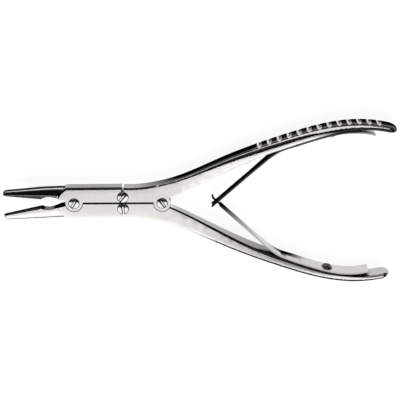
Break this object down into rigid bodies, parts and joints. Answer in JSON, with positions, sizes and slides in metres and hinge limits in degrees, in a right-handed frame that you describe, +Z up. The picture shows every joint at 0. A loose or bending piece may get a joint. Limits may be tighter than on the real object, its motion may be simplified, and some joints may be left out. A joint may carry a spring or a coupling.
{
  "type": "bone rongeur",
  "caption": "Double-action bone rongeur: cupped jaws linked to bowed handles by slotted pivot screws, opened by two interlocked leaf springs.",
  "frame": {"origin": "on the surface that the instrument lies on, under the middle of its bounding box", "axes": "+X from the jaw tips to the handle ends, +Y towards the grooved upper handle, +Z up along the pivot screws, heads up"},
  "size_m": [0.1786, 0.078, 0.0099],
  "materials": {
    "satin_steel": "satin flats with polished edges",
    "polished_steel": "polished",
    "spring_steel": "polished"
  },
  "bodies": {
    "lower_handle": {"lower_handle": "satin_steel", "rear_pivot_screw": "polished_steel", "lower_link_screw": "polished_steel", "lower_spring_root": "spring_steel", "lower_spring_screw": "polished_steel"},
    "upper_handle": {"upper_handle": "satin_steel", "upper_link_screw": "polished_steel", "upper_spring_root": "spring_steel", "upper_spring_screw": "polished_steel"},
    "upper_jaw": {"upper_jaw": "satin_steel"},
    "lower_jaw": {"lower_jaw": "satin_steel", "front_pivot_screw": "polished_steel"},
    "upper_spring": {"upper_spring_blade": "spring_steel"},
    "lower_spring": {"lower_spring_blade": "spring_steel"}
  },
  "joints": [
    {"name": "rear_pivot", "type": "hinge", "parent": "lower_handle", "child": "upper_handle", "pos_m": [-0.01675, 0, 0.0047], "axis": [0, 0, -1], "range_deg": [0, 21.3], "stiffness_Nm_per_rad": 0.8, "springref_deg": -5.73},
    {"name": "upper_link", "type": "hinge", "parent": "upper_handle", "child": "upper_jaw", "pos_m": [-0.03468, 0.00293, 0.0047], "axis": [0, 0, 1], "range_deg": [0, 18.65]},
    {"name": "lower_link", "type": "hinge", "parent": "lower_handle", "child": "lower_jaw", "pos_m": [-0.03472, -0.00261, 0.0047], "axis": [0, 0, -1], "range_deg": [0, 19.75]},
    {"name": "upper_spring_flex", "type": "hinge", "parent": "upper_handle", "child": "upper_spring", "pos_m": [0.03564, 0.02481, 0.0047], "axis": [0, 0, -1], "range_deg": [0, 8.3]},
    {"name": "lower_spring_flex", "type": "hinge", "parent": "lower_handle", "child": "lower_spring", "pos_m": [0.0352, -0.02572, 0.0047], "axis": [0, 0, 1], "range_deg": [0, 8.3]}
  ],
  "couplings": [
    {"joint": "upper_link", "follows": "rear_pivot", "ratio": 0.8737},
    {"joint": "lower_link", "follows": "rear_pivot", "ratio": 0.9247},
    {"joint": "upper_spring_flex", "follows": "rear_pivot", "ratio": 0.385},
    {"joint": "lower_spring_flex", "follows": "rear_pivot", "ratio": 0.385}
  ]
}
